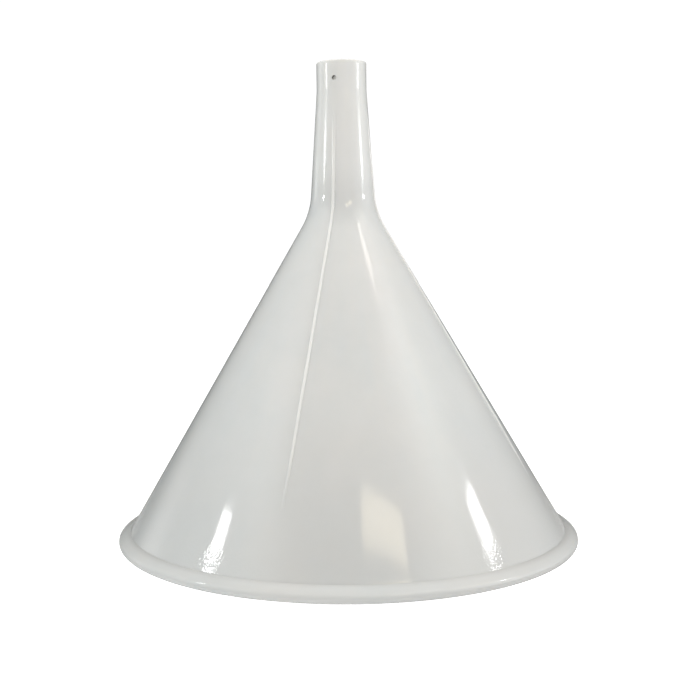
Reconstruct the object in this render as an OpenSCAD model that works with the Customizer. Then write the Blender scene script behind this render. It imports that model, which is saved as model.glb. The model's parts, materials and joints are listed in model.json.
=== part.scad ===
// Conical laboratory funnel of moulded polypropylene, standing on its mouth,
// with a drop-in perforated filter plate and its seal ring.
// Origin: centre of the mouth, in the plane of the rim's foot.
// +Z runs up the axis to the stem tip; the vent hole and one rib face -Y.

/* [Mouth and rim] */
// Outside diameter of the rim bead
rim_od = 250; // [240:0.5:260]
// Height of the bead's widest point above the foot
bead_z = 2.8; // [2.6:0.1:3.2]
// Radius of the bead's section just above its widest point
bead_end_r = 2.7; // [2.4:0.1:3]
// Radius of the bead's flatter top section
bead_top_r = 11; // [9:0.5:16]
// Height of the crease where the bead meets the cone
crease_z = 7.4; // [6.8:0.1:8.2]

/* [Cone] */
// Outside radius of the cone at the crease
cone_r = 118.3; // [116:0.1:119.5]
// Outside radius where cone and stem lines meet
neck_r = 17.8; // [16.5:0.1:20]
// Height of that meeting point
neck_z = 177.8; // [170:0.1:185]
// Outside fillet radius at the neck
neck_fillet = 40; // [16:1:46]
// Wall thickness
wall = 2.2; // [1.8:0.1:2.6]

/* [Stem] */
// Outside radius of the straight land at the tip
land_r = 13.4; // [12.5:0.1:14.5]
// Length of the straight land
land_l = 15; // [10:0.5:20]
// Overall height of the funnel
total_h = 257.2; // [250:0.1:265]
// Round on the outer edge of the tip
tip_round = 0.7; // [0.3:0.1:1]
// Diameter of the vent hole
vent_d = 2.1; // [1.5:0.1:3]
// Distance from the tip to the vent hole's centre
vent_drop = 9.6; // [6:0.1:12]

/* [Ribs] */
// Number of air-vent ribs on the outside
rib_count = 4; // [2:1:6]
// Width of a rib
rib_w = 1.7; // [1.2:0.1:2.5]
// Height a rib stands off the wall
rib_h = 0.8; // [0.5:0.1:1.2]
// Height above the foot where a rib starts
rib_start_z = 37; // [30:1:60]
// Height above the foot where a rib ends
rib_end_z = 234; // [215:1:240]

/* [Filter plate] */
// Height of the plate's mid-plane above the foot
plate_z = 107; // [90:1:130]
// Thickness of the plate
plate_t = 5; // [4:0.5:7]
// Radial gap between the plate's edge and the cone
plate_gap = 0.9; // [0.6:0.1:1.2]
// Diameter of a drain hole
drain_d = 2.5; // [1.5:0.1:3.5]
// Number of drain-hole rings
drain_rings = 7; // [3:1:7]
// Distance between drain-hole rings
drain_pitch = 6.9; // [5:0.1:7]
// Section diameter of the seal ring
seal_d = 2.4; // [1.8:0.1:3]
// Clearance between the seal ring and what it touches
seal_gap = 0.05; // [0.02:0.01:0.1]

/* [Hidden] */
$fn = 180;
overlap = 0.01;
cut_extra = 1; // how far a cut runs past the surface it opens

rim_r = rim_od / 2;
land_z = total_h - land_l;

// Slopes: radius lost for each millimetre of height.
// Stretches: radial width of a wall for each millimetre of its true thickness.
cone_slope = (cone_r - neck_r) / (neck_z - crease_z);
cone_stretch = sqrt(1 + cone_slope * cone_slope);
stem_slope = (neck_r - land_r) / (land_z - neck_z);
stem_stretch = sqrt(1 + stem_slope * stem_slope);

// Radius at height z of the cone and of the tapered stem, set in from the outside
function cone_at(z, inset = 0) = cone_r - (z - crease_z) * cone_slope - inset * cone_stretch;
function stem_at(z, inset = 0) = neck_r - (z - neck_z) * stem_slope - inset * stem_stretch;

// Where the cone and stem lines meet, both set in from the outside: [radius, height]
function neck_point(inset) =
    let (z = (cone_at(0, inset) - stem_at(0, inset)) / (cone_slope - stem_slope))
    [cone_at(z, inset), z];

// Unit vectors from the neck point along the stem and along the cone
up_stem = [-stem_slope, 1] / stem_stretch;
down_cone = [cone_slope, -1] / cone_stretch;
neck_angle = acos(up_stem * down_cone);
neck_bisector = (up_stem + down_cone) / norm(up_stem + down_cone);
// Centre of the neck fillets, shared by the inside and the outside surface
fillet_centre = neck_point(0) + neck_bisector * (neck_fillet / sin(neck_angle / 2));

// Rim bead: its top arc starts at the crease and runs into the end arc at bead_touch
crease = [cone_r, crease_z];
end_centre = [rim_r - bead_end_r, bead_z];
chord = norm(end_centre - crease);
chord_dir = (end_centre - crease) / chord;
// Distance along the chord from the crease to the foot of the top arc's centre
chord_foot = (pow(bead_top_r, 2) - pow(bead_top_r - bead_end_r, 2) + pow(chord, 2)) / (2 * chord);
top_centre = crease + chord_dir * chord_foot
    + [chord_dir[1], -chord_dir[0]] * sqrt(pow(bead_top_r, 2) - pow(chord_foot, 2));
bead_touch = end_centre
    + (end_centre - top_centre) / norm(end_centre - top_centre) * bead_end_r;
// Inner edge of the bead's section, buried in the cone or cut away with the bore
bead_root_r = cone_r - 3;

// Ribs: fade at the ends and depth sunk into the wall
rib_rise = 34;          // height over which a rib rises from its start
rib_fade_z = neck_z + 30;
rib_fade = 0.55;        // share of rib_h left at rib_fade_z
rib_arc_steps = 10;     // straight pieces along the neck fillet
rib_end_root = 1;
rib_neck_root = 1.2;
rib_root_l = 4;         // upright length of the root at the neck

plate_bottom = plate_z - plate_t / 2;
plate_top = plate_z + plate_t / 2;
// Radius of the seal ring's centre line
seal_r = cone_at(plate_z, wall) - (seal_d / 2 + seal_gap) * cone_stretch;

// Half-section of everything within a surface set in from the outside.
// A section that is set in is a cut, so it also runs below the foot.
module body_section(inset, top_z, tip_r) {
    neck = neck_point(inset);
    fillet_r = neck_fillet + inset;
    reach = fillet_r / tan(neck_angle / 2);
    bottom_z = inset > 0 ? -cut_extra : 0;
    polygon([
        [0, bottom_z],
        [cone_at(bottom_z, inset), bottom_z],
        neck,
        [tip_r, land_z],
        [tip_r, top_z],
        [0, top_z]
    ]);
    // fillet at the neck
    difference() {
        polygon([neck, neck + up_stem * reach, neck + down_cone * reach]);
        translate(fillet_centre) circle(fillet_r);
    }
}

// Solid section of the rim bead: flat foot, round lower edge, round end and flatter top
module bead_section() {
    foot_r = rim_r - bead_z;
    intersection() {
        union() {
            // round lower edge
            intersection() {
                translate([foot_r, bead_z]) circle(bead_z);
                translate([foot_r, 0]) square(bead_z);
            }
            // round end above the widest point
            intersection() {
                translate(end_centre) circle(bead_end_r);
                translate([rim_r - bead_end_r - 2, bead_z - overlap])
                    square([bead_end_r + 3, bead_end_r + 2]);
            }
            // flatter top, as a wedge of its circle
            intersection() {
                translate(top_centre) circle(bead_top_r);
                polygon([
                    top_centre,
                    top_centre + (crease - top_centre) * 1.5,
                    top_centre + (bead_touch - top_centre) * 1.5
                ]);
            }
            // core between the arcs and the cone
            polygon([
                [bead_root_r, 0], [foot_r, 0], [foot_r, bead_z], end_centre,
                bead_touch, crease, [bead_root_r, crease_z]
            ]);
        }
        // keeps only what lies above the foot and outside the root
        translate([bead_root_r, 0]) square([20, crease_z + 5]);
    }
}

// What the round on the tip's outer edge takes away
module tip_round_cut() {
    corner = [land_r - tip_round, total_h - tip_round];
    difference() {
        translate(corner) square(tip_round + cut_extra);
        translate(corner) circle(tip_round);
    }
}

// Outline of a rib in the plane through the axis: follows the wall and fades out at both ends
module rib_outline() {
    start_angle = 180 + atan(cone_slope);
    end_angle = 180 + atan(stem_slope);
    rise_z = rib_start_z + rib_rise;
    cone_normal = [1, cone_slope] / cone_stretch;
    stem_normal = [1, stem_slope] / stem_stretch;
    outer = [
        [cone_at(rib_start_z), rib_start_z],
        [cone_at(rise_z), rise_z] + cone_normal * rib_h,
        for (i = [0:rib_arc_steps])
            let (angle = start_angle + (end_angle - start_angle) * i / rib_arc_steps)
            fillet_centre + (neck_fillet - rib_h) * [cos(angle), sin(angle)],
        [stem_at(rib_fade_z), rib_fade_z] + stem_normal * rib_h * rib_fade,
        [stem_at(rib_end_z), rib_end_z]
    ];
    root = [
        [stem_at(rib_end_z) - rib_end_root, rib_end_z],
        [neck_r - rib_neck_root, neck_z + rib_root_l],
        [neck_r - rib_neck_root, neck_z],
        [cone_at(rib_start_z) - rib_end_root, rib_start_z]
    ];
    polygon(concat(outer, root));
}

// One air-vent rib on the outside, in the plane x = 0 on the -Y side
module rib() {
    rotate([0, 0, -90]) rotate([90, 0, 0])
        linear_extrude(height = rib_w, center = true) rib_outline();
}

// One moulding: cone, rim bead, stem, ribs and the vent hole
module funnel_body() {
    color([0.86, 0.86, 0.84])
    difference() {
        union() {
            rotate_extrude() difference() {
                union() {
                    body_section(0, total_h, land_r);
                    bead_section();
                }
                tip_round_cut();
            }
            for (i = [0:rib_count - 1])
                rotate([0, 0, i * 360 / rib_count]) rib();
        }
        // bore
        rotate_extrude() body_section(wall, total_h + cut_extra, land_r - wall);
        // vent hole, through the -Y side only
        translate([0, 0, total_h - vent_drop]) rotate([90, 0, 0])
            cylinder(h = land_r + 4, d = vent_d, $fn = 48);
    }
}

// Cutter for one drain hole at radius r on the +X side
module drain_hole(r) {
    translate([r, 0, plate_bottom - cut_extra])
        cylinder(h = plate_t + 2 * cut_extra, d = drain_d, $fn = 32);
}

// Perforated plate that wedges in the cone; its edge is bevelled to the cone
// and grooved for the seal
module filter_plate() {
    color([0.93, 0.93, 0.91])
    difference() {
        rotate_extrude() difference() {
            polygon([
                [0, plate_bottom],
                [cone_at(plate_bottom, wall) - plate_gap, plate_bottom],
                [cone_at(plate_top, wall) - plate_gap, plate_top],
                [0, plate_top]
            ]);
            translate([seal_r, plate_z]) circle(seal_d / 2 + seal_gap, $fn = 48);
        }
        drain_hole(0);
        // six more holes in each ring; odd rings are turned by half a step
        for (ring = [1:drain_rings], i = [0:6 * ring - 1])
            rotate([0, 0, (i + (ring % 2) / 2) * 60 / ring])
                drain_hole(ring * drain_pitch);
    }
}

// Round-section silicone ring in the plate's edge groove
module plate_seal() {
    color([0.88, 0.87, 0.84])
    rotate_extrude() translate([seal_r, plate_z]) circle(d = seal_d, $fn = 48);
}

funnel_body();
filter_plate();
plate_seal();
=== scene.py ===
import json
import math

import bpy
import numpy as np
from mathutils import Matrix, Vector, noise

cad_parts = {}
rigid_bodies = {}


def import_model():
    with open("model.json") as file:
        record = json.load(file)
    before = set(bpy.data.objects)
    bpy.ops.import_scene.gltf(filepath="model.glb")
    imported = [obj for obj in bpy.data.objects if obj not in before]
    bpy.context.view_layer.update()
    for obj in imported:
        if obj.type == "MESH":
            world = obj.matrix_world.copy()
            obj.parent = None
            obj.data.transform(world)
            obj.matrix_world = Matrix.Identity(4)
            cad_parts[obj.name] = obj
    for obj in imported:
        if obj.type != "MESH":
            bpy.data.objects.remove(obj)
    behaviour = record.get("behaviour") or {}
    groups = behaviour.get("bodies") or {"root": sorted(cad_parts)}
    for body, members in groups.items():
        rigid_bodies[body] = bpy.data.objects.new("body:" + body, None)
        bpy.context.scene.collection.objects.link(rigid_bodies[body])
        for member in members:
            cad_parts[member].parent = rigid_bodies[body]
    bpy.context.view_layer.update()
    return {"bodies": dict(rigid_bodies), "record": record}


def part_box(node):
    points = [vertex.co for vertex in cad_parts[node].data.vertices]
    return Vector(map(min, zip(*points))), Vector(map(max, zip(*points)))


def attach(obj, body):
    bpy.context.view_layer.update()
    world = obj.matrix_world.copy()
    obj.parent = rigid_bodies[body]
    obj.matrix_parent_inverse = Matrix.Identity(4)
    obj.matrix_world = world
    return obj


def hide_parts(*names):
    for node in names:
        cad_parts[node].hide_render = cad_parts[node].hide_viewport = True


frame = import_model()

body_lo, body_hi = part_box("funnel_body")
plate_lo, plate_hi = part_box("filter_plate")
seal_lo, seal_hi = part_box("plate_seal")

MM = 0.001

# ------------------------------------------------------------------ dimensions, in mm, from the frame
RIM = (body_hi.x - body_lo.x) / 2 / MM          # outside radius of the rim bead
TALL = body_hi.z / MM                           # height of the funnel
SPIGOT = next(m for m in frame["record"]["mounts"] if m["name"] == "stem_spigot")
OUTLET = next(m for m in frame["record"]["mounts"] if m["name"] == "stem_outlet")
LAND_R = SPIGOT["dims"]["r_mm"]                 # outside radius of the straight tip
BORE_R = OUTLET["dims"]["r_mm"]                 # its bore
LAND_Z = TALL - OUTLET["dims"]["length_mm"]
WALL = LAND_R - BORE_R
CREASE = np.array([RIM - 6.7, 7.4])             # where the rim bead meets the cone
NECK = np.array([17.8, 177.8])                  # where the lines of cone and stem meet
FILLET = 40.0
BEAD_Z, BEAD_END, BEAD_TOP = 2.8, 2.7, 11.0
VENT_Z, VENT_R = TALL - 9.6, 1.05
RIB_H, RIB_W = 0.8, 1.7
RIB_LOW, RIB_HIGH = 37.0, 234.0
PLATE_Z = (plate_lo.z + plate_hi.z) / 2 / MM
PLATE_T = (plate_hi.z - plate_lo.z) / MM

slope = (CREASE[0] - NECK[0]) / (NECK[1] - CREASE[1])
cone_k = math.hypot(1, slope)
stem_slope = (NECK[0] - LAND_R) / (LAND_Z - NECK[1])
stem_k = math.hypot(1, stem_slope)


def cone_line(z, t=0.0):
    """Radius of the cone's surface set in by t, at height z."""
    return CREASE[0] - (z - CREASE[1]) * slope - t * cone_k


def neck_point(t):
    c = CREASE[0] + CREASE[1] * slope - t * cone_k
    s = NECK[0] + NECK[1] * stem_slope - t * stem_k
    z = (c - s) / (slope - stem_slope)
    return np.array([c - slope * z, z])


up_stem = np.array([-stem_slope, 1]) / stem_k
down_cone = np.array([slope, -1]) / cone_k
neck_angle = math.acos(float(up_stem @ down_cone))
bisector = (up_stem + down_cone) / np.linalg.norm(up_stem + down_cone)
FILLET_O = neck_point(0) + bisector * (FILLET / math.sin(neck_angle / 2))


def line(a, b, n, ease=0.0):
    """n points from a to b, both ends in. ease 1 crowds them towards both ends."""
    t = np.linspace(0, 1, n)
    t = t * (1 - ease) + ease * (3 * t * t - 2 * t * t * t)
    return [np.array(a, float) * (1 - s) + np.array(b, float) * s for s in t]


def arc(o, r, a0, a1, n):
    """n points round o from angle a0 to a1, in degrees."""
    return [np.array([o[0] + r * math.cos(math.radians(a)), o[1] + r * math.sin(math.radians(a))])
            for a in np.linspace(a0, a1, n)]


def rounded(a, b, c, r, n):
    """The corner at b between the lines a-b and b-c, rounded at radius r with n points."""
    a, b, c = (np.array(p, float) for p in (a, b, c))
    u = (a - b) / np.linalg.norm(a - b)
    v = (c - b) / np.linalg.norm(c - b)
    ang = math.acos(float(np.clip(u @ v, -1, 1)))
    t = r / math.tan(ang / 2)
    o = b + (u + v) / np.linalg.norm(u + v) * (r / math.sin(ang / 2))
    p, q = b + u * t - o, b + v * t - o
    a0, a1 = math.atan2(p[1], p[0]), math.atan2(q[1], q[0])
    d = (a1 - a0 + math.pi) % (2 * math.pi) - math.pi
    return [o + r * np.array([math.cos(a0 + d * s), math.sin(a0 + d * s)]) for s in np.linspace(0, 1, n)]


def chain(*parts):
    """Joins point lists, dropping points that repeat."""
    out = []
    for part in parts:
        for p in part:
            if not out or np.linalg.norm(out[-1] - p) > 1e-4:
                out.append(np.array(p, float))
    return out


def spaced(a, b, step):
    n = max(2, int(round(np.linalg.norm(np.array(b) - np.array(a)) / step)) + 1)
    return line(a, b, n)


# ------------------------------------------------------------------ the funnel's section
def neck_arc(t, n):
    """The neck fillet of the surface set in by t, from the cone up to the stem."""
    p = neck_point(t)
    r = FILLET + t
    reach = r / math.tan(neck_angle / 2)
    a = p + down_cone * reach - FILLET_O
    b = p + up_stem * reach - FILLET_O
    a0, a1 = math.atan2(a[1], a[0]), math.atan2(b[1], b[0])
    d = (a1 - a0 + math.pi) % (2 * math.pi) - math.pi
    return [FILLET_O + r * np.array([math.cos(a0 + d * s), math.sin(a0 + d * s)]) for s in np.linspace(0, 1, n)]


def funnel_section():
    """Closed section, foot -> inside -> tip -> outside -> bead -> foot, as two point lists: the inside and the outside.
    """
    foot_in = [cone_line(0, WALL), 0]
    tip_in, tip_out = [BORE_R, TALL], [LAND_R, TALL]
    inner_arc, outer_arc = neck_arc(WALL, 22), neck_arc(0, 32)
    land_in, land_out = [BORE_R, LAND_Z], [LAND_R, LAND_Z]
    in_turn = rounded(inner_arc[-1], land_in, [BORE_R, LAND_Z + 5], 30, 5)
    out_turn = rounded([LAND_R, LAND_Z + 5], land_out, outer_arc[-1], 30, 5)
    c_in = rounded([RIM - BEAD_Z, 0], foot_in, inner_arc[0], 0.5, 6)
    tip_a = rounded([BORE_R, LAND_Z], tip_in, tip_out, 0.35, 6)
    tip_b = rounded(tip_in, tip_out, [LAND_R, LAND_Z], 0.7, 8)
    # the vent hole needs its own rows, at the same heights inside and outside
    vent_rows = [VENT_Z + d for d in VENT_DZ]
    inside = chain(
        c_in,
        spaced(c_in[-1], inner_arc[0], 3.0),
        inner_arc,
        spaced(inner_arc[-1], in_turn[0], 3.0),
        in_turn,
        spaced(in_turn[-1], [BORE_R, vent_rows[0]], 1.2),
        [np.array([BORE_R, z]) for z in vent_rows],
        spaced([BORE_R, vent_rows[-1]], tip_a[0], 1.2),
        tip_a,
    )
    # bead: top arc from the crease, end arc, lower arc, flat foot
    bead_o = np.array([RIM - BEAD_END, BEAD_Z])
    d = np.linalg.norm(bead_o - CREASE)
    u = (bead_o - CREASE) / d
    x = (BEAD_TOP ** 2 - (BEAD_TOP - BEAD_END) ** 2 + d * d) / (2 * d)
    top_o = CREASE + u * x + np.array([u[1], -u[0]]) * math.sqrt(BEAD_TOP ** 2 - x * x)
    w = (bead_o - top_o) / np.linalg.norm(bead_o - top_o)
    a_touch = math.degrees(math.atan2(w[1], w[0]))
    a_crease = math.degrees(math.atan2(CREASE[1] - top_o[1], CREASE[0] - top_o[0]))
    on_arc = arc(top_o, BEAD_TOP, a_crease - 3.0, a_touch, 14)
    crease_turn = rounded(CREASE + np.array([-slope, 1.0]) * 3, CREASE, on_arc[0], 0.35, 7)
    outside = chain(
        tip_b,
        spaced(tip_b[-1], [LAND_R, vent_rows[-1]], 1.2),
        [np.array([LAND_R, z]) for z in reversed(vent_rows)],
        spaced([LAND_R, vent_rows[0]], out_turn[0], 1.2),
        out_turn,
        spaced(out_turn[-1], outer_arc[-1], 1.8),
        list(reversed(outer_arc)),
        spaced(outer_arc[0], crease_turn[0], 1.9),
        crease_turn,
        on_arc,
        arc(bead_o, BEAD_END, a_touch, 0, 12),
        arc([RIM - BEAD_Z, BEAD_Z], BEAD_Z, 0, -90, 14),
        line([RIM - BEAD_Z, 0], c_in[0], 4),
    )[:-1]
    return inside, outside


VENT_DZ = [-2.4, -1.8, -1.2, -0.6, 0.0, 0.6, 1.2, 1.8, 2.4]
RIB_S = [0.0, 0.2, 0.4, 0.55, 0.67, 0.76, 0.82, 0.86, 0.92, 1.05, 1.4, 2.1]   # columns beside a rib, mm from its middle
BETWEEN = 66                                                  # columns between two ribs


def columns(r):
    """Azimuths of the columns at radius r, and each column's offset from the nearest rib in mm, or None. 0 faces -Y."""
    s = [-x for x in reversed(RIB_S[1:])] + RIB_S
    out, off = [], []
    for k in range(4):
        mid = k * math.pi / 2
        near = [x / r for x in s]
        for x, v in zip(near, s):
            out.append(mid + x)
            off.append(v)
        a, b = mid + near[-1], mid + math.pi / 2 - near[-1]
        for i in range(1, BETWEEN + 1):
            out.append(a + (b - a) * i / (BETWEEN + 1))
            off.append(None)
    return np.array(out), off


def rib_height(p):
    """How far a rib stands off the wall beside the profile point p."""
    z = p[1]
    if z <= RIB_LOW or z >= RIB_HIGH:
        return 0.0
    up = min(1.0, (z - RIB_LOW) / 34.0)
    up = up * (2 - up)
    down = 1.0 if z < 186 else max(0.0, 1 - (z - 186) / (RIB_HIGH - 186))
    down = 0.25 * min(1.0, down * 4) + 0.75 * down * down * (3 - 2 * down)
    return RIB_H * up * down


def rib_shape(s):
    """Cross-section of a rib: rounded crest and soft roots."""
    a = abs(s) / (RIB_W / 2 + 0.02)
    if a < 0.955:
        return math.sqrt(1 - a * a)
    return max(0.0, 0.297 * math.exp(-(a - 0.955) / 0.035) - 0.004)


def mesh_object(name, verts, faces, body, smooth=True):
    me = bpy.data.meshes.new(name)
    me.from_pydata([tuple(v) for v in verts], [], faces)
    me.validate(clean_customdata=False)
    me.update()
    if smooth:
        me.shade_smooth()
    ob = bpy.data.objects.new(name, me)
    bpy.context.scene.collection.objects.link(ob)
    return ob


def build_funnel():
    inside, outside = funnel_section()
    section = inside + outside
    n_in = len(inside)
    n_out = len(outside)
    rows = len(section)
    # outward direction of the profile in (r, z), for relief and ribs
    P = np.array(section)
    T = np.roll(P, -1, 0) - np.roll(P, 1, 0)
    T /= np.linalg.norm(T, axis=1)[:, None]
    Nrm = np.stack([T[:, 1], -T[:, 0]], 1)
    # section runs foot -> up the inside -> tip -> down the outside: outward is to the left
    Nrm = -Nrm
    az0, offs = columns(100.0)
    cols = len(az0)
    verts = np.zeros((rows, cols, 3))
    for i, p in enumerate(section):
        az, off = columns(max(p[0], 11.0))
        h = rib_height(p) if i >= n_in else 0.0
        on_cone = CREASE[1] + 1 < p[1]
        for j in range(cols):
            d = 0.0
            if h > 0 and off[j] is not None:
                d += h * rib_shape(off[j])
            # moulding relief: long shallow waves, a few hundredths of a millimetre
            if on_cone and p[1] < TALL - 14:
                a = az[j]
                q = Vector((math.cos(a) * p[0], math.sin(a) * p[0], p[1]))
                fade = min(1.0, (p[1] - CREASE[1] - 1) / 14.0, (TALL - 14 - p[1]) / 14.0)
                fade *= min(1.0, max(0.35, (188 - p[1]) / 30.0))
                d += 0.055 * fade * noise.noise(q * 0.021 + Vector((3.1, 7.7, 1.9)))
                d += 0.018 * fade * noise.noise(q * 0.062 + Vector((9.3, 2.2, 5.5)))
            r = p[0] + Nrm[i, 0] * d
            z = p[1] + Nrm[i, 1] * d
            verts[i, j] = (r * math.sin(az[j]), -r * math.cos(az[j]), z)
    V = [tuple(v * MM) for v in verts.reshape(-1, 3)]
    idx = lambda i, j: (i % rows) * cols + (j % cols)
    # vent hole: a patch of the grid, inside and outside, is taken out and meshed round the hole
    s = [-x for x in reversed(RIB_S[1:])] + RIB_S
    jc = [j for j in range(len(s))]                     # the first rib's columns, left to right
    j0, j1 = 0, len(s) - 1
    in_rows = [i for i in range(n_in) if any(abs(section[i][1] - (VENT_Z + d)) < 1e-6 for d in VENT_DZ)]
    out_rows = [i for i in range(n_in, rows) if any(abs(section[i][1] - (VENT_Z + d)) < 1e-6 for d in VENT_DZ)]
    cut = {}
    faces = []
    for i in range(rows):
        for j in range(cols):
            hole = (j0 <= j < j1) and (
                (in_rows[0] <= i < in_rows[-1]) or (out_rows[0] <= i < out_rows[-1]))
            if not hole:
                faces.append((idx(i, j), idx(i + 1, j), idx(i + 1, j + 1), idx(i, j + 1)))

    def border(rws):
        """Border of the patch, anticlockwise seen from outside, starting at the low left corner; rws from low to high."""
        b = [(rws[0], j) for j in range(j0, j1)]
        b += [(r, j1) for r in rws[:-1]]
        b += [(rws[-1], j) for j in range(j1, j0, -1)]
        b += [(r, j0) for r in reversed(rws[1:])]
        return [idx(i, j) for i, j in b]

    outer = border(sorted(out_rows, key=lambda i: section[i][1]))
    inner = border(sorted(in_rows, key=lambda i: section[i][1]))
    n = len(outer)
    # angle of each border vertex round the hole, eased towards an even spread
    ang = []
    for k in outer:
        x, z = V[k][0] / MM, V[k][2] / MM - VENT_Z
        ang.append(math.atan2(z, x))
    ang = np.unwrap(np.array(ang))
    even = ang[0] + np.arange(n) * 2 * math.pi / n
    even += np.mean(ang - even)
    ang = 0.35 * ang + 0.65 * even

    def ring(radius, surf_r, sink):
        """Vertices round the hole at this radius, on a cylinder of radius surf_r less sink."""
        start = len(V)
        for a in ang:
            x, z = radius * math.cos(a), radius * math.sin(a)
            rr = surf_r - sink
            V.append((x * MM, -math.sqrt(rr * rr - x * x) * MM, (VENT_Z + z) * MM))
        return list(range(start, start + n))

    def blend_ring(borders, t, surf_r):
        """Vertices between the border and the hole, t of the way in."""
        start = len(V)
        for k, a in zip(borders, ang):
            x0, z0 = V[k][0] / MM, V[k][2] / MM - VENT_Z
            x1, z1 = 1.35 * VENT_R * math.cos(a), 1.35 * VENT_R * math.sin(a)
            x, z = x0 + (x1 - x0) * t, z0 + (z1 - z0) * t
            V.append((x * MM, -math.sqrt(surf_r ** 2 - x * x) * MM, (VENT_Z + z) * MM))
        return list(range(start, start + n))

    loops = [outer,
             blend_ring(outer, 0.5, LAND_R), blend_ring(outer, 1.0, LAND_R),
             ring(VENT_R + 0.16, LAND_R, 0.0), ring(VENT_R + 0.08, LAND_R, 0.03), ring(VENT_R + 0.02, LAND_R, 0.10),
             ring(VENT_R, LAND_R, 0.20), ring(VENT_R, (LAND_R + BORE_R) / 2, 0.0),
             ring(VENT_R, BORE_R, -0.15), ring(VENT_R + 0.05, BORE_R, -0.04), ring(VENT_R + 0.13, BORE_R, 0.0),
             blend_ring(inner, 1.0, BORE_R), blend_ring(inner, 0.5, BORE_R),
             inner]
    for a, b in zip(loops[:-1], loops[1:]):
        for k in range(n):
            m = (k + 1) % n
            faces.append((a[k], a[m], b[m], b[k]))
    ob = mesh_object("funnel_moulding", V, faces, "funnel")
    import bmesh
    bm = bmesh.new()
    bm.from_mesh(ob.data)
    loose = [v for v in bm.verts if not v.link_faces]
    bmesh.ops.delete(bm, geom=loose, context="VERTS")
    bmesh.ops.recalc_face_normals(bm, faces=bm.faces)
    bm.to_mesh(ob.data)
    bm.free()
    ob.data.shade_smooth()
    return ob


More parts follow.
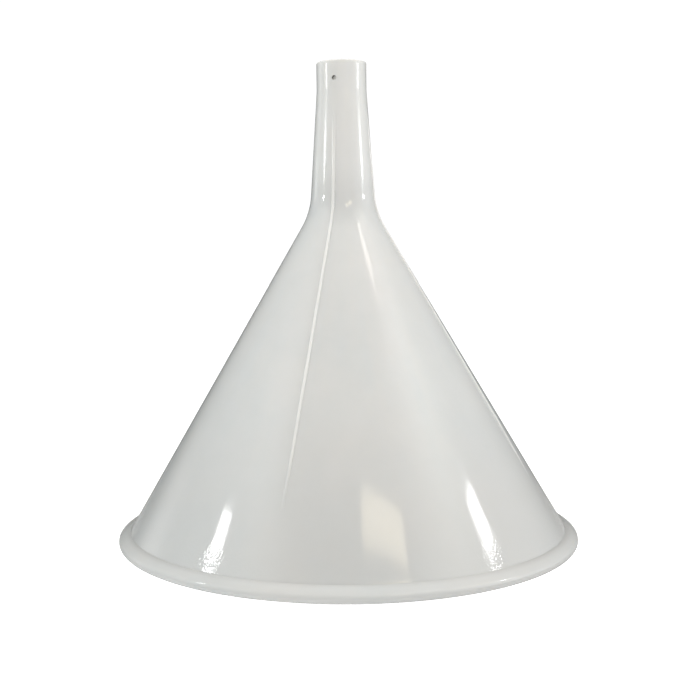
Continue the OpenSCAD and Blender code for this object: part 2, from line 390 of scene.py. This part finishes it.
# ------------------------------------------------------------------ filter plate
def build_plate():
    """Disc bevelled to the cone, with a grooved edge and concentric rings of drain holes, each edge broken."""
    from mathutils import geometry
    z0, z1 = PLATE_Z - PLATE_T / 2, PLATE_Z + PLATE_T / 2
    r0 = (plate_hi.x - plate_lo.x) / 2 / MM                       # radius at the lower, wider face
    r1 = r0 - PLATE_T * slope
    seal_r = cone_line(PLATE_Z, WALL) - (SEAL_D / 2 + 0.05) * cone_k
    g = SEAL_D / 2 + 0.05
    hole_r, chamfer = 1.25, 0.22
    N = 288
    # rim of the plate: lower edge, bevel, groove, bevel, upper edge
    mid = lambda z: r0 - (z - z0) * slope
    # where the groove's circle meets the bevel line
    e = np.array([-slope, 1.0]) / cone_k
    a = np.array([mid(PLATE_Z), PLATE_Z]) - np.array([seal_r, PLATE_Z])
    b = a @ e
    disc = math.sqrt(max(b * b - (a @ a - g * g), 0))
    lo_cut = np.array([mid(PLATE_Z), PLATE_Z]) + e * (-b - disc)
    hi_cut = np.array([mid(PLATE_Z), PLATE_Z]) + e * (-b + disc)
    al = math.degrees(math.atan2(lo_cut[1] - PLATE_Z, lo_cut[0] - seal_r))
    ah = math.degrees(math.atan2(hi_cut[1] - PLATE_Z, hi_cut[0] - seal_r))
    groove = [p for p in arc([seal_r, PLATE_Z], g, al, ah - 360, 26)]
    edge = chain(
        rounded([r0 - 5, z0], [r0, z0], lo_cut, 0.35, 6),
        line([0, 0], [0, 0], 1)[:0],
        [lo_cut + (np.array([r0, z0]) - lo_cut) * 0.25],
        rounded(lo_cut + (np.array([r0, z0]) - lo_cut) * 0.3, lo_cut, groove[2], 0.12, 4),
        groove[2:-2],
        rounded(groove[-3], hi_cut, hi_cut + (np.array([r1, z1]) - hi_cut) * 0.3, 0.12, 4),
        [hi_cut + (np.array([r1, z1]) - hi_cut) * 0.25],
        rounded(hi_cut, [r1, z1], [r1 - 5, z1], 0.35, 6),
    )
    verts, faces = [], []
    th = np.linspace(0, 2 * math.pi, N, endpoint=False)
    for r, z in edge:
        verts += [(r * math.cos(t) * MM, r * math.sin(t) * MM, z * MM) for t in th]
    for i in range(len(edge) - 1):
        for j in range(N):
            k = (j + 1) % N
            faces.append((i * N + j, i * N + k, (i + 1) * N + k, (i + 1) * N + j))
    low_loop = list(range(N))
    high_loop = list(range((len(edge) - 1) * N, len(edge) * N))
    centres = [(0.0, 0.0)]
    for k in range(1, 8):
        for i in range(6 * k):
            t = math.radians(i * 60 / k + (k % 2) * 30 / k)
            centres.append((k * 6.9 * math.cos(t), k * 6.9 * math.sin(t)))
    M = 28
    ph = [2 * math.pi * i / M for i in range(M)]
    low_holes, high_holes = [], []
    for cx, cy in centres:
        start = len(verts)
        stack = [(hole_r + chamfer, z0), (hole_r + chamfer * 0.3, z0 + chamfer * 0.3), (hole_r, z0 + chamfer),
                 (hole_r, z1 - chamfer), (hole_r + chamfer * 0.3, z1 - chamfer * 0.3), (hole_r + chamfer, z1)]
        for r, z in stack:
            verts += [((cx + r * math.cos(t)) * MM, (cy + r * math.sin(t)) * MM, z * MM) for t in ph]
        for i in range(len(stack) - 1):
            for j in range(M):
                k = (j + 1) % M
                faces.append((start + i * M + k, start + i * M + j, start + (i + 1) * M + j, start + (i + 1) * M + k))
        low_holes.append(list(range(start, start + M)))
        high_holes.append(list(range(start + 5 * M, start + 6 * M)))

    def fill(outer, holes, flip):
        ids = list(outer)
        edges = [(i, (i + 1) % N) for i in range(N)]
        for h in holes:
            s = len(ids)
            ids += h
            edges += [(s + i, s + (i + 1) % M) for i in range(M)]
        # a sparse net of points between the holes keeps the triangles even
        pts = [Vector((verts[i][0] / MM, verts[i][1] / MM)) for i in ids]
        extra = []
        inner_r = math.hypot(*pts[0]) - 2.2
        for rr in np.arange(51.2, inner_r, 1.9):
            n = int(2 * math.pi * rr / 2.6)
            extra += [(rr * math.cos(2 * math.pi * i / n), rr * math.sin(2 * math.pi * i / n)) for i in range(n)]
        z = verts[outer[0]][2]
        base = len(verts)
        for x, y in extra:
            verts.append((x * MM, y * MM, z))
            ids.append(len(verts) - 1)
            pts.append(Vector((x, y)))
        out = geometry.delaunay_2d_cdt(pts, edges, [], 0, 1e-5)
        vv, _, ff, orig = out[0], out[1], out[2], out[3]
        back = [ids[o[0]] if o else None for o in orig]
        cs = np.array(centres)
        for f in ff:
            c = sum((vv[i] for i in f), Vector((0, 0))) / len(f)
            if c.length > math.hypot(*pts[0]):
                continue
            if np.min(np.hypot(cs[:, 0] - c.x, cs[:, 1] - c.y)) < hole_r + chamfer * 0.9:
                continue
            g3 = [back[i] for i in f]
            if None in g3 or len(set(g3)) < 3:
                continue
            faces.append(tuple(reversed(g3)) if flip else tuple(g3))

    fill(low_loop, low_holes, True)
    fill(high_loop, high_holes, False)
    ob = mesh_object("filter_plate_moulding", verts, faces, "plate", smooth=False)
    import bmesh
    bm = bmesh.new()
    bm.from_mesh(ob.data)
    bmesh.ops.delete(bm, geom=[v for v in bm.verts if not v.link_faces], context="VERTS")
    bmesh.ops.recalc_face_normals(bm, faces=bm.faces)
    for f in bm.faces:
        f.smooth = True
    for e in bm.edges:
        if len(e.link_faces) == 2 and e.calc_face_angle() > math.radians(38):
            e.smooth = False
    bm.to_mesh(ob.data)
    bm.free()
    return ob


SEAL_D = (seal_hi.z - seal_lo.z) / MM


def build_seal():
    """Round-section ring with the fine parting ridge a moulded ring carries on its inner side."""
    seal_r = (seal_hi.x - seal_lo.x) / 2 / MM - SEAL_D / 2
    N, M = 320, 40
    verts, faces = [], []
    for j in range(N):
        t = 2 * math.pi * j / N
        for i in range(M):
            a = 2 * math.pi * i / M
            r = SEAL_D / 2
            inner = math.cos(a - math.pi)
            if inner > 0.985:
                r += 0.035 * (inner - 0.985) / 0.015
            r += 0.012 * noise.noise(Vector((math.cos(t) * (4 + math.cos(a)), math.sin(t) * (4 + math.cos(a)), math.sin(a)))) - 0.012
            x = seal_r + r * math.cos(a)
            verts.append((x * math.cos(t) * MM, x * math.sin(t) * MM, (PLATE_Z + r * math.sin(a)) * MM))
    for j in range(N):
        for i in range(M):
            j2, i2 = (j + 1) % N, (i + 1) % M
            faces.append((j * M + i, j2 * M + i, j2 * M + i2, j * M + i2))
    return mesh_object("plate_seal_ring", verts, faces, "plate")


# ------------------------------------------------------------------ materials
class Graph:
    """A small helper for node trees."""

    def __init__(self, name):
        self.mat = bpy.data.materials.new(name)
        self.mat.use_nodes = True
        self.nt = self.mat.node_tree
        self.nt.nodes.clear()
        self.out = self.nt.nodes.new("ShaderNodeOutputMaterial")

    def node(self, kind, **inputs):
        n = self.nt.nodes.new(kind)
        for k, v in inputs.items():
            if k.startswith("_"):
                setattr(n, k[1:], v)
        for k, v in inputs.items():
            if not k.startswith("_"):
                self.set(n, k, v)
        return n

    def set(self, n, key, v):
        sock = n.inputs[int(key[2:])] if key.startswith("in") and key[2:].isdigit() else n.inputs[key.replace("__", " ")]
        if isinstance(v, bpy.types.NodeSocket):
            self.nt.links.new(v, sock)
        elif isinstance(v, bpy.types.Node):
            self.nt.links.new(v.outputs[0], sock)
        else:
            sock.default_value = v

    def math(self, op, a, b=None, c=None, clamp=False):
        n = self.nt.nodes.new("ShaderNodeMath")
        n.operation = op
        n.use_clamp = clamp
        for i, v in enumerate((a, b, c)):
            if v is not None:
                self.set(n, f"in{i}", v)
        return n.outputs[0]

    def noise(self, vec, scale, detail=2.0, rough=0.5, distort=0.0):
        n = self.node("ShaderNodeTexNoise", Scale=scale, Detail=detail, Roughness=rough, Distortion=distort, Vector=vec)
        return n.outputs["Fac"]

    def remap(self, v, a, b, c, d, smooth=False):
        n = self.node("ShaderNodeMapRange", _interpolation_type="SMOOTHSTEP" if smooth else "LINEAR",
                      Value=v, **{"From__Min": a, "From__Max": b, "To__Min": c, "To__Max": d})
        return n.outputs[0]

    def mix(self, fac, a, b):
        n = self.nt.nodes.new("ShaderNodeMix")
        n.data_type = "RGBA"
        self.set(n, "in0", fac)
        for i, v in ((6, a), (7, b)):
            self.set(n, f"in{i}", v)
        return n.outputs[2]


def plastic_funnel():
    """Glossy natural-white polypropylene: milky body, sharp gloss higher up, orange peel towards the rim."""
    g = Graph("polypropylene_gloss")
    co = g.node("ShaderNodeTexCoord").outputs["Object"]
    sep = g.node("ShaderNodeSeparateXYZ", Vector=co)
    x, y, z = sep.outputs
    # cylindrical frame: azimuth, height and distance from the axis
    az = g.math("ARCTAN2", y, x)
    r = g.math("SQRT", g.math("ADD", g.math("MULTIPLY", x, x), g.math("MULTIPLY", y, y)))
    flow = g.node("ShaderNodeCombineXYZ", X=g.math("MULTIPLY", az, 0.05), Y=z, Z=r)
    # colour: cloudy resin, slow drift from warm to cool, faint flow lines from the stem
    cloud = g.noise(co, 16.0, 4.0, 0.55, 0.3)
    blot = g.noise(co, 70.0, 3.0, 0.6)
    streak = g.node("ShaderNodeTexNoise", Scale=1.0, Detail=3.0, Roughness=0.55,
                    Vector=g.node("ShaderNodeCombineXYZ", X=g.math("MULTIPLY", az, 9.0),
                                  Y=g.math("MULTIPLY", z, 6.0), Z=0.0).outputs[0]).outputs["Fac"]
    base = g.mix(g.remap(cloud, 0.35, 0.68, 0, 1), (*BASE_COOL, 1), (*BASE_WARM, 1))
    base = g.mix(g.remap(blot, 0.3, 0.75, 0.0, 0.35), base, (*BASE_PALE, 1))
    base = g.mix(g.remap(streak, 0.40, 0.70, 0.0, 0.22), base, (*BASE_WARM2, 1))
    # painted shade in the crease over the bead, and handling marks on the foot
    crease = g.math("ABSOLUTE", g.math("SUBTRACT", z, float(CREASE[1]) * MM))
    crease_shade = g.remap(crease, 0.0, 0.0011, 1.0, 0.0, True)
    crease_shade = g.math("MULTIPLY", crease_shade, g.remap(r, (CREASE[0] - 1.5) * MM, (CREASE[0] + 1.2) * MM, 1.0, 0.55))
    base = g.mix(g.math("MULTIPLY", crease_shade, 0.22), base, (0.36, 0.35, 0.33, 1))
    foot = g.remap(z, 0.0, 0.0016, 1.0, 0.0, True)
    scuff = g.math("MULTIPLY", foot, g.remap(g.noise(co, 260.0, 4.0, 0.7), 0.45, 0.62, 0.0, 1.0))
    base = g.mix(g.math("MULTIPLY", scuff, 0.35), base, (0.50, 0.49, 0.46, 1))
    # painted highlight: the colour is made whiter along the ribs
    quarter = math.pi / 2
    turn = g.math("SUBTRACT", g.math("MODULO", g.math("ADD", az, 2 * math.pi + quarter / 2), quarter), quarter / 2)
    off = g.math("ABSOLUTE", g.math("MULTIPLY", turn, r))
    rib_highlight = g.remap(off, 0.00045, 0.00095, 1.0, 0.0, True)
    rib_highlight = g.math("MULTIPLY", rib_highlight, g.remap(z, (RIB_LOW + 1) * MM, (RIB_LOW + 34) * MM, 0.0, 1.0, True))
    rib_highlight = g.math("MULTIPLY", rib_highlight, g.remap(z, (RIB_HIGH - 36) * MM, (RIB_HIGH - 4) * MM, 1.0, 0.0, True))
    base = g.mix(g.math("MULTIPLY", rib_highlight, 0.55), base, (0.86, 0.86, 0.83, 1))
    # painted light: the stem is coloured a little paler, for light its sides do not get from the lamps
    base = g.mix(g.remap(z, 0.180, 0.205, 0.0, 0.28, True), base, (0.86, 0.86, 0.83, 1))
    bead = g.math("MULTIPLY", g.remap(z, 0.0070, 0.0080, 1.0, 0.0, True), g.remap(r, 0.1165, 0.1185, 0.0, 1.0, True))
    # painted shade: the colour darkens towards the mouth, less on the bead
    mouth_shade = g.remap(z, 0.006, 0.100, 0.50, 0.0, True)
    mouth_shade = g.math("MULTIPLY", mouth_shade, g.math("SUBTRACT", 1.0, g.math("MULTIPLY", bead, 0.60)))
    base = g.mix(mouth_shade, base, (0.50, 0.505, 0.495, 1))
    # painted shade in and round the vent hole, coloured near black
    vx = g.math("SUBTRACT", z, VENT_Z * MM)
    hole = g.math("SQRT", g.math("ADD", g.math("MULTIPLY", x, x), g.math("MULTIPLY", vx, vx)))
    inside = g.remap(y, -LAND_R * MM + 0.0001, -LAND_R * MM + 0.0004, 0.55, 1.0)
    hole = g.math("MULTIPLY", g.remap(hole, 0.00112, 0.00140, 1.0, 0.0, True), inside)
    hole = g.math("MULTIPLY", hole, g.remap(y, -0.002, 0.0, 1.0, 0.0))
    base = g.mix(hole, base, (0.07, 0.07, 0.065, 1))
    # roughness: polished tool higher up, grained band near the rim, hairline scratches
    low = g.remap(z, 0.012, 0.027, 1.0, 0.0, True)
    low = g.math("MULTIPLY", low, g.remap(z, float(CREASE[1]) * MM - 0.0005, float(CREASE[1]) * MM + 0.001, 0.0, 1.0))
    patch = g.noise(co, 24.0, 3.0, 0.6)
    rough = g.math("ADD", ROUGH, g.remap(patch, 0.35, 0.7, -0.02, 0.035))
    rough = g.math("ADD", rough, g.math("MULTIPLY", low, -0.018))
    stem = g.remap(z, (NECK[1] - 6) * MM, (NECK[1] + 14) * MM, 0.0, 1.0, True)
    throat = g.math("MULTIPLY", g.remap(z, 0.170, 0.178, 0.0, 1.0, True), g.remap(z, 0.184, 0.194, 1.0, 0.0, True))
    rough = g.math("ADD", rough, g.math("MULTIPLY", throat, -0.045))
    rough = g.math("ADD", rough, g.math("MULTIPLY", bead, -0.03))
    # the stem was never polished as far as the cone
    rough = g.math("ADD", rough, g.remap(z, 0.196, 0.208, 0.0, 0.075, True))
    rough = g.math("ADD", rough, g.math("MULTIPLY", scuff, 0.25))
    # micro scratches
    sc = g.node("ShaderNodeTexNoise", Scale=1.0, Detail=2.0, Roughness=0.6,
                Vector=g.node("ShaderNodeCombineXYZ", X=g.math("MULTIPLY", az, 260.0),
                              Y=g.math("MULTIPLY", z, 60.0), Z=g.math("MULTIPLY", r, 40.0)).outputs[0]).outputs["Fac"]
    rough = g.math("ADD", rough, g.remap(sc, 0.62, 0.70, 0.0, 0.03))
    # bump: long ripple, orange peel, grain near the rim
    ripple = g.noise(co, 55.0, 2.0, 0.5)
    peel = g.noise(co, 820.0, 2.0, 0.6)
    grain = g.noise(co, 1500.0, 2.0, 0.6)
    hgt = g.math("MULTIPLY", ripple, g.remap(stem, 0.0, 1.0, 0.000016, 0.000002))
    hgt = g.math("ADD", hgt, g.math("MULTIPLY", peel, 0.0000022))
    # coarse enough to break the highlights over the rim into specks
    pebble = g.noise(co, 980.0, 0.0, 0.5)
    # but rubbed smooth by handling in three wide patches
    rub = g.math("COSINE", g.math("MULTIPLY", g.math("ADD", az, 1.13), 3.0))
    rub = g.remap(g.remap(rub, 0.0, 0.6, 0.0, 1.0, True), 0.0, 1.0, 0.000054, 0.000011)
    hgt = g.math("ADD", hgt, g.math("MULTIPLY", pebble, g.math("MULTIPLY", low, rub)))
    hgt = g.math("ADD", hgt, g.math("MULTIPLY", grain, 0.0000006))
    bump = g.node("ShaderNodeBump", Strength=1.0, Distance=1.0, Height=hgt)
    bsdf = g.node("ShaderNodeBsdfPrincipled", **{"Base__Color": base, "Roughness": rough, "IOR": 1.49, "Normal": bump.outputs[0],
                  "Subsurface__Weight": SSS, "Subsurface__Scale": 0.004, "Subsurface__Radius": (1.0, 0.95, 0.85)})
    g.nt.links.new(bsdf.outputs[0], g.out.inputs[0])
    return g.mat


def plastic_plate():
    """Satin natural-white polypropylene with turned-tool rings and a fine matt grain."""
    g = Graph("polypropylene_satin")
    co = g.node("ShaderNodeTexCoord").outputs["Object"]
    sep = g.node("ShaderNodeSeparateXYZ", Vector=co)
    x, y, z = sep.outputs
    r = g.math("SQRT", g.math("ADD", g.math("MULTIPLY", x, x), g.math("MULTIPLY", y, y)))
    cloud = g.noise(co, 30.0, 4.0, 0.6, 0.2)
    base = g.mix(g.remap(cloud, 0.35, 0.68, 0, 1), (0.72, 0.72, 0.70, 1), (0.79, 0.785, 0.76, 1))
    # painted shade: the plate darkens towards its edge, where it meets the funnel wall
    edge = g.remap(r, 0.050, 0.0575, 0.0, 0.25, True)
    base = g.mix(edge, base, (0.66, 0.655, 0.63, 1))
    rings = g.math("SINE", g.math("MULTIPLY", r, 2 * math.pi / 0.0008))
    fine = g.noise(co, 900.0, 3.0, 0.6)
    rough = g.math("ADD", 0.36, g.remap(g.noise(co, 60.0, 3.0, 0.6), 0.3, 0.7, -0.05, 0.07))
    hgt = g.math("ADD", g.math("MULTIPLY", rings, 0.0000014), g.math("MULTIPLY", fine, 0.0000025))
    bump = g.node("ShaderNodeBump", Strength=1.0, Distance=1.0, Height=hgt)
    bsdf = g.node("ShaderNodeBsdfPrincipled", **{"Base__Color": base, "Roughness": rough, "IOR": 1.49, "Normal": bump.outputs[0],
                  "Subsurface__Weight": SSS, "Subsurface__Scale": 0.003, "Subsurface__Radius": (1.0, 0.95, 0.85)})
    g.nt.links.new(bsdf.outputs[0], g.out.inputs[0])
    return g.mat


def rubber_seal():
    """Translucent white silicone, slightly dusty and soft-looking."""
    g = Graph("silicone_white")
    co = g.node("ShaderNodeTexCoord").outputs["Object"]
    dust = g.noise(co, 350.0, 4.0, 0.65)
    cloud = g.noise(co, 45.0, 3.0, 0.6)
    base = g.mix(g.remap(cloud, 0.3, 0.7, 0, 1), (0.70, 0.69, 0.64, 1), (0.76, 0.75, 0.71, 1))
    base = g.mix(g.remap(dust, 0.55, 0.72, 0.0, 0.35), base, (0.84, 0.83, 0.80, 1))
    rough = g.math("ADD", 0.46, g.remap(dust, 0.4, 0.7, -0.04, 0.14))
    bump = g.node("ShaderNodeBump", Strength=1.0, Distance=1.0, Height=g.math("MULTIPLY", g.noise(co, 1100.0, 3.0, 0.6), 0.000010))
    bsdf = g.node("ShaderNodeBsdfPrincipled", **{"Base__Color": base, "Roughness": rough, "IOR": 1.41, "Normal": bump.outputs[0],
                  "Subsurface__Weight": 0.5, "Subsurface__Scale": 0.0025, "Subsurface__Radius": (1.0, 0.9, 0.8),
                  "Sheen__Weight": 0.1})
    g.nt.links.new(bsdf.outputs[0], g.out.inputs[0])
    return g.mat


BASE_COOL = (0.602, 0.622, 0.618)
BASE_WARM = (0.644, 0.644, 0.629)
BASE_PALE = (0.667, 0.676, 0.668)
BASE_WARM2 = (0.658, 0.644, 0.618)
ROUGH = 0.085
SSS = 0.35

funnel = build_funnel()
plate = build_plate()
seal = build_seal()
for ob, mat, body, node, slot in ((funnel, plastic_funnel(), "funnel", "funnel_body", "funnel_plastic"),
                                  (plate, plastic_plate(), "plate", "filter_plate", "plate_plastic"),
                                  (seal, rubber_seal(), "plate", "plate_seal", "seal_rubber")):
    ob.data.materials.append(mat)
    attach(ob, body)
    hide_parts(node)

# ------------------------------------------------------------------ camera, at the viewing angle of the picture
TURN = math.radians(19.3)                        # the rib and the vent hole stand this far left of the camera
Rr = RIM * MM
around = Matrix.Rotation(TURN, 4, "Z")
cam_data = bpy.data.cameras.new("camera")
cam = bpy.data.objects.new("camera", cam_data)
bpy.context.scene.collection.objects.link(cam)
cam_data.sensor_fit = "HORIZONTAL"
cam_data.sensor_width = 36.0
cam_data.lens = 1067.05 / 700 * 36.0
cam_data.shift_x = (350 - 302.85) / 700
pitch, roll = 0.0848, 0.01476
fwd = Vector((0, math.cos(pitch), -math.sin(pitch)))
up = Vector((0, math.sin(pitch), math.cos(pitch)))
right = Vector((1, 0, 0))
cx = right * math.cos(roll) - up * math.sin(roll)
cy = right * math.sin(roll) + up * math.cos(roll)
rot = Matrix((cx, cy, -fwd)).transposed().to_4x4()
cam.matrix_world = around @ Matrix.Translation(Vector((-0.18298, -4.67115, 1.22096)) * Rr) @ rot
cam_data.clip_start, cam_data.clip_end = 0.01, 100
bpy.context.scene.camera = cam


# ------------------------------------------------------------------ stage: floor, world and lights
def direction(az, el):
    """World direction at azimuth az from the camera's side (0 is towards the camera, + to its right) and elevation el."""
    a, e = math.radians(az), math.radians(el)
    return around.to_3x3() @ Vector((math.sin(a) * math.cos(e), -math.cos(a) * math.cos(e), math.sin(e)))


def area(name, az, dist, high, w, h, power, colour=(1, 1, 1), target=(0, 0, 0.1), tilt=0.0, glossy=True, diffuse=True):
    """A rectangular studio light, w by h, at azimuth az, dist from the axis and high above the floor, facing target."""
    d = bpy.data.lights.new(name, "AREA")
    d.shape = "RECTANGLE"
    d.size, d.size_y = w, h
    d.energy = power
    d.color = colour
    o = bpy.data.objects.new(name, d)
    bpy.context.scene.collection.objects.link(o)
    o.location = direction(az, 0) * dist + Vector((0, 0, high))
    q = (Vector(target) - o.location).to_track_quat("-Z", "Y")
    o.rotation_mode = "QUATERNION"
    o.rotation_quaternion = q @ Matrix.Rotation(math.radians(tilt), 3, "Z").to_quaternion()
    o.visible_camera = False
    o.visible_glossy = glossy
    o.visible_diffuse = diffuse
    return o


def build_world(ambient, gradient, lobes):
    """Camera rays see plain white. Everything else sees a studio: an even level, a level that grows with height, and soft lobes.
    ambient and gradient are colours; a lobe is (azimuth, elevation, half-width, half-height, tilt, colour), angles in degrees."""
    w = bpy.data.worlds.new("studio")
    bpy.context.scene.world = w
    w.use_nodes = True
    nt = w.node_tree
    nt.nodes.clear()

    def N(kind, **kw):
        n = nt.nodes.new(kind)
        for k, v in kw.items():
            setattr(n, k, v)
        return n

    def m(op, a, b=None, clamp=False):
        n = N("ShaderNodeMath", operation=op, use_clamp=clamp)
        for i, v in enumerate((a, b)):
            if isinstance(v, bpy.types.NodeSocket):
                nt.links.new(v, n.inputs[i])
            elif v is not None:
                n.inputs[i].default_value = v
        return n.outputs[0]

    def dot(v, d):
        n = N("ShaderNodeVectorMath", operation="DOT_PRODUCT")
        nt.links.new(v, n.inputs[0])
        n.inputs[1].default_value = d
        return n.outputs["Value"]

    def scaled(colour, f):
        n = N("ShaderNodeVectorMath", operation="SCALE")
        n.inputs[0].default_value = colour
        if isinstance(f, bpy.types.NodeSocket):
            nt.links.new(f, n.inputs["Scale"])
        else:
            n.inputs["Scale"].default_value = f
        return n.outputs[0]

    def plus(a, b):
        n = N("ShaderNodeVectorMath", operation="ADD")
        nt.links.new(a, n.inputs[0])
        nt.links.new(b, n.inputs[1])
        return n.outputs[0]

    out = N("ShaderNodeOutputWorld")
    path = N("ShaderNodeLightPath")
    plain = N("ShaderNodeBackground")
    plain.inputs[0].default_value = (1, 1, 1, 1)
    plain.inputs[1].default_value = 1.05
    tent = N("ShaderNodeBackground")
    v = N("ShaderNodeTexCoord").outputs["Generated"]
    total = scaled(ambient, 1.0)
    total = plus(total, scaled(gradient, m("MAXIMUM", dot(v, (0, 0, 1)), 0.0)))
    for az, el, sx, sy, lean, colour in lobes:
        d0 = direction(az, el)
        spin = Matrix.Rotation(math.radians(lean), 3, d0)
        side = spin @ direction(az + 90, 0)
        top = d0.cross(side).normalized()
        a = m("MULTIPLY", dot(v, side), 1 / math.sin(math.radians(sx)))
        b = m("MULTIPLY", dot(v, top), 1 / math.sin(math.radians(sy)))
        r2 = m("ADD", m("MULTIPLY", a, a), m("MULTIPLY", b, b))
        f = m("EXPONENT", m("MULTIPLY", r2, -0.5))
        f = m("MULTIPLY", f, m("MULTIPLY", m("MAXIMUM", dot(v, d0), 0.0), 1.0))
        total = plus(total, scaled(colour, f))
    nt.links.new(total, tent.inputs[0])
    tent.inputs[1].default_value = 1.0
    mixs = N("ShaderNodeMixShader")
    nt.links.new(path.outputs["Is Camera Ray"], mixs.inputs[0])
    nt.links.new(tent.outputs[0], mixs.inputs[1])
    nt.links.new(plain.outputs[0], mixs.inputs[2])
    nt.links.new(mixs.outputs[0], out.inputs[0])




FLOOR_NEAR, FLOOR_FAR = (0.44, 0.44, 0.44), (0.26, 0.26, 0.26)


def build_floor(glow_level):
    import bmesh
    bm = bmesh.new()
    bmesh.ops.create_circle(bm, cap_ends=True, segments=96, radius=6.0)
    me = bpy.data.meshes.new("floor")
    bm.to_mesh(me)
    bm.free()
    ob = bpy.data.objects.new("floor", me)
    bpy.context.scene.collection.objects.link(ob)
    g = Graph("floor_paper")
    co = g.node("ShaderNodeTexCoord").outputs["Object"]
    tone = g.remap(g.noise(co, 6.0, 3.0, 0.5), 0.3, 0.7, 0.80, 0.84)
    comb = g.node("ShaderNodeCombineColor", Red=tone, Green=tone, Blue=tone)
    path = g.node("ShaderNodeLightPath")
    fx, fy, _ = g.node("ShaderNodeSeparateXYZ", Vector=co).outputs
    far = g.math("SQRT", g.math("ADD", g.math("MULTIPLY", fx, fx), g.math("MULTIPLY", fy, fy)))
    bounce = g.mix(g.remap(far, 0.15, 0.34, 0.0, 1.0, True), (*FLOOR_NEAR, 1), (*FLOOR_FAR, 1))
    shade = g.mix(path.outputs["Is Camera Ray"], bounce, comb.outputs[0])
    diff = g.node("ShaderNodeBsdfDiffuse", Color=shade)
    emit = g.node("ShaderNodeEmission", Color=(1, 1, 1, 1), Strength=0.90)
    dim = g.node("ShaderNodeEmission", Color=(0.98, 1.0, 1.0, 1), Strength=glow_level)
    glow = g.node("ShaderNodeMixShader", in0=path.outputs["Is Camera Ray"], in1=dim.outputs[0], in2=emit.outputs[0])
    both = g.node("ShaderNodeAddShader", in0=diff.outputs[0], in1=glow.outputs[0])
    clear = g.node("ShaderNodeBsdfTransparent")
    geo = g.node("ShaderNodeNewGeometry")
    side = g.node("ShaderNodeMixShader", in0=geo.outputs["Backfacing"], in1=both.outputs[0], in2=clear.outputs[0])
    g.nt.links.new(side.outputs[0], g.out.inputs[0])
    me.materials.append(g.mat)
    ob.visible_shadow = False
    # the floor stays under whatever hangs lowest: the plate, once it is drawn out of the mouth
    drv = ob.driver_add("location", 2).driver
    drv.type = "SCRIPTED"
    var = drv.variables.new()
    var.name = "pz"
    var.type = "TRANSFORMS"
    var.targets[0].id = frame["bodies"]["plate"]
    var.targets[0].transform_type = "LOC_Z"
    var.targets[0].transform_space = "WORLD_SPACE"
    drv.expression = f"min(0.0, pz + {plate_lo.z:.6f})"
    return ob


# === lights
build_world((0.0, 0.0, 0.0), (0.0, 0.0, 0.0), [
    (0, 2, 35, 13, 0, (2.1, 2.0, 2.0)),
    (-80, 4, 26, 13, 0, (1.46, 1.46, 1.40)),
    (-118, 8, 9, 4.5, 0, (1.6, 1.6, 1.6)),
    (-80, 26, 26, 12, 0, (0.72, 0.88, 0.95)),
    (80, 4, 26, 13, 0, (2.75, 2.83, 2.88)),
    (80, 26, 26, 12, 0, (0.05, 0.08, 0.10)),
    (-72, 44, 13, 9, 0, (0.78, 0.75, 0.74)),
    (-56, 38, 13, 6, 0, (1.0, 1.05, 1.0)),
    (56, 38, 12, 6, 0, (0.9, 0.95, 0.9)),
    (72, 50, 10, 6, 0, (1.35, 1.15, 1.1)),
    (76, 38, 10, 6, 0, (1.25, 1.35, 1.3)),
    (180, 60, 60, 20, 0, (0.05, 0.10, 0.16)),
])
floor = build_floor(0.0)
area("key_left", -75, 0.60, 0.338, 0.066, 0.060, 0.27, target=(0, 0, 0.12), tilt=14)
area("key_right", 77.3, 0.60, 0.330, 0.080, 0.062, 0.29, target=(0, 0, 0.12), tilt=-3)
area("window", 19, 0.49, 0.428, 0.205, 0.057, 0.17, (1.0, 0.87, 0.62), target=(0, -0.05, 0.03), tilt=-16)
area("strip", 59, 0.35, 0.608, 0.055, 0.075, 0.068, (1.0, 0.95, 0.88), target=(0, 0, 0.17), tilt=8)
area("overhead", 0, 0.0, 0.75, 0.7, 0.7, 4.5, (1.0, 0.95, 0.90), target=(0, 0, 0), glossy=False)
# under the floor, for the inside: their light reaches the mouth through the paper
area("below", 0, 0.0, -0.45, 0.5, 0.5, 2.8, (1.0, 0.99, 0.96), target=(0, 0, 0.1))
area("below_side", -40, 0.30, -0.40, 0.2, 0.2, 0.7, (0.96, 0.98, 1.0), target=(0, 0, 0.1))
for turn in (-25, 25, -90, 90, -155, 155):
    area("glint", turn, 0.60, -0.25, 0.035, 0.20, 0.16, target=(0, 0, 0.05), diffuse=False)

bpy.context.scene.view_settings.view_transform = "Standard"
bpy.context.scene.view_settings.look = "None"
